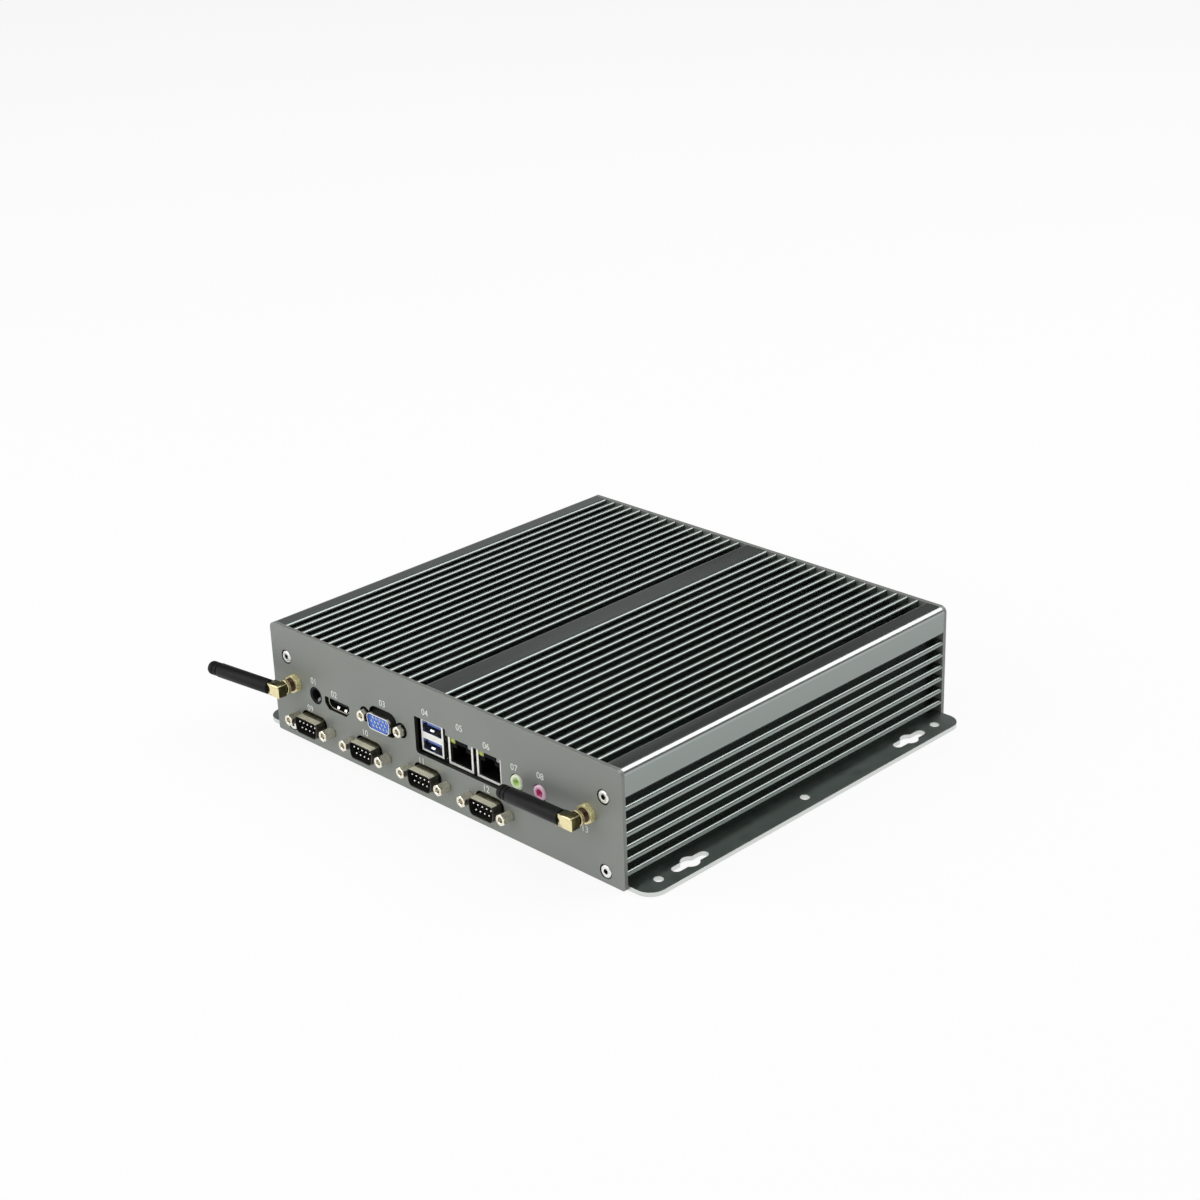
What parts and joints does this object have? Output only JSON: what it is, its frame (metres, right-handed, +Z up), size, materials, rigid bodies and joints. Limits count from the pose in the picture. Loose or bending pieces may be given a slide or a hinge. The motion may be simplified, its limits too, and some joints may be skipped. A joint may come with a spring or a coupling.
{
  "type": "industrial mini computer",
  "caption": "Low fanless box computer with a finned metal case, mounting flanges with keyhole slots, a front row of sockets and stub antennas on elbows.",
  "frame": {"origin": "centre of the footprint on the base plate's underside", "axes": "+X to the right as seen from the front, +Y from the socket panel to the rear panel, +Z up"},
  "size_m": [0.2705, 0.2355, 0.0554],
  "materials": {
    "case_metal": "fine blasted, grey anodised",
    "base_metal": "grey anodised sheet",
    "screw_steel": "bright zinc",
    "nickel": "nickel plated",
    "gold": "gold plated",
    "black_plastic": "moulded",
    "antenna_rubber": "satin",
    "blue_plastic": "moulded",
    "green_plastic": "moulded",
    "pink_plastic": "moulded",
    "link_lens": "clear tinted",
    "speed_lens": "clear",
    "circuit_board": "solder-resist coated",
    "chip_lid": "nickel plated",
    "heat_metal": "milled",
    "button_steel": "brushed",
    "lead_jacket": "smooth"
  },
  "bodies": {
    "base": {"housing": "case_metal", "front_panel": "case_metal", "rear_panel": "case_metal", "base_plate": "base_metal", "panel_screws": "screw_steel", "base_screws": "screw_steel", "jackscrews": "nickel", "serial_pins": "nickel", "video_shell": "nickel", "usb_shell": "nickel", "digital_video_shell": "nickel", "dc_inlet_pin": "nickel", "network_1_shell": "nickel", "network_2_shell": "nickel", "serial_1_shell": "nickel", "serial_2_shell": "nickel", "serial_3_shell": "nickel", "serial_4_shell": "nickel", "antenna_left_socket": "gold", "antenna_right_socket": "gold", "antenna_nuts": "gold", "antenna_couplers": "gold", "board_standoffs": "gold", "dc_inlet_body": "black_plastic", "digital_video_tongue": "black_plastic", "network_1_insert": "black_plastic", "network_2_insert": "black_plastic", "memory_socket": "black_plastic", "card_sockets": "black_plastic", "serial_header": "black_plastic", "serial_1_insert": "black_plastic", "serial_2_insert": "black_plastic", "serial_3_insert": "black_plastic", "serial_4_insert": "black_plastic", "video_insert": "blue_plastic", "usb_insulator": "blue_plastic", "audio_out_jack": "green_plastic", "audio_in_jack": "pink_plastic", "network_link_lights": "link_lens", "network_speed_lights": "speed_lens", "main_board": "circuit_board", "serial_board": "circuit_board", "memory_module": "circuit_board", "storage_card": "circuit_board", "wireless_card": "circuit_board", "processor": "chip_lid", "heat_block": "heat_metal", "power_button_body": "button_steel", "power_button_nut": "button_steel", "antenna_left_lead": "lead_jacket", "antenna_right_lead": "lead_jacket", "power_lead": "lead_jacket"},
    "antenna_left": {"antenna_left_elbow": "gold", "antenna_left_rod": "antenna_rubber"},
    "antenna_right": {"antenna_right_elbow": "gold", "antenna_right_rod": "antenna_rubber"},
    "power_button": {"power_button_cap": "button_steel"}
  },
  "joints": [
    {"name": "antenna_left_turn", "type": "hinge", "parent": "base", "child": "antenna_left", "pos_m": [-0.0981, -0.1176, 0.0285], "axis": [0, 1, 0], "continuous": true},
    {"name": "antenna_right_turn", "type": "hinge", "parent": "base", "child": "antenna_right", "pos_m": [0.0941, -0.1176, 0.0298], "axis": [0, 1, 0], "continuous": true},
    {"name": "power_button_press", "type": "slide", "parent": "base", "child": "power_button", "axis": [0, -1, 0], "range_m": [0, 0.0012], "stiffness_N_per_m": 2500}
  ]
}
